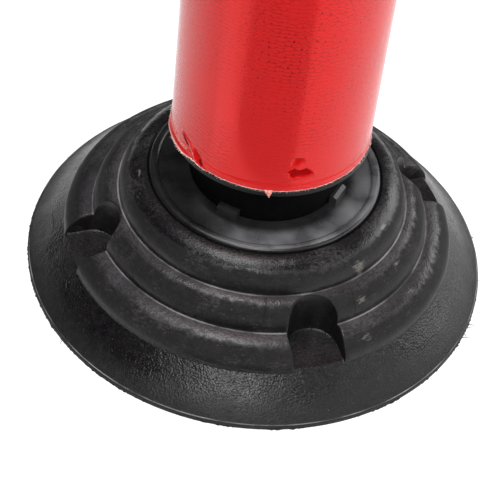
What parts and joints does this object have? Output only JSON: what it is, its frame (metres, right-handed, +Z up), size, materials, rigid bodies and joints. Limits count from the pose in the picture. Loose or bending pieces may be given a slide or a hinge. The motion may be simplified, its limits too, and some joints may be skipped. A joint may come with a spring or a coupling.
{
  "type": "spring reflex bag",
  "caption": "Free-standing column reflex bag: a padded vinyl column on a coil spring in a rubber boot, over a stepped round rubber base with open pockets.",
  "frame": {"origin": "centre of the base's underside, on the floor", "axes": "+Z up along the column's axis; +X and +Y each point through the middle of one of the base's four pockets"},
  "size_m": [0.48, 0.48, 1.4995],
  "materials": {
    "base_rubber": "satin",
    "boot_rubber": "matte",
    "black_plastic": "satin",
    "pressed_steel": "satin",
    "spring_steel": "satin",
    "zinc_fasteners": "satin",
    "red_vinyl": "gloss",
    "foam": "matte",
    "grey_pipe": "satin"
  },
  "bodies": {
    "base": {"rubber_base": "base_rubber", "clamp_plate": "pressed_steel", "collar": "black_plastic", "lower_spring_cup": "pressed_steel", "lower_spring_clips": "pressed_steel", "lower_clip_nuts": "zinc_fasteners", "base_bolts": "zinc_fasteners", "base_washers": "zinc_fasteners", "base_nuts": "zinc_fasteners"},
    "spring": {"coil_spring": "spring_steel", "spring_boot": "boot_rubber"},
    "bag": {"upper_spring_cup": "pressed_steel", "upper_spring_clips": "pressed_steel", "upper_clip_nuts": "zinc_fasteners", "bottom_disc": "black_plastic", "disc_bolts": "zinc_fasteners", "disc_washers": "zinc_fasteners", "disc_nuts": "zinc_fasteners", "core_tube": "grey_pipe", "core_screws": "zinc_fasteners", "core_cap": "black_plastic", "foam_sleeve": "foam", "foam_crown": "foam", "cover_wall": "red_vinyl", "cover_top": "red_vinyl"}
  },
  "joints": [
    {"name": "lean_fore_aft", "type": "hinge", "parent": "base", "child": "spring", "pos_m": [0, 0, 0.1505], "axis": [1, 0, 0], "range_deg": [-20, 20], "stiffness_Nm_per_rad": 260, "deforming": ["coil_spring", "spring_boot"]},
    {"name": "lean_sideways", "type": "hinge", "parent": "spring", "child": "bag", "pos_m": [0, 0, 0.1505], "axis": [0, 1, 0], "range_deg": [-20, 20], "stiffness_Nm_per_rad": 260, "deforming": ["coil_spring", "spring_boot"]}
  ]
}
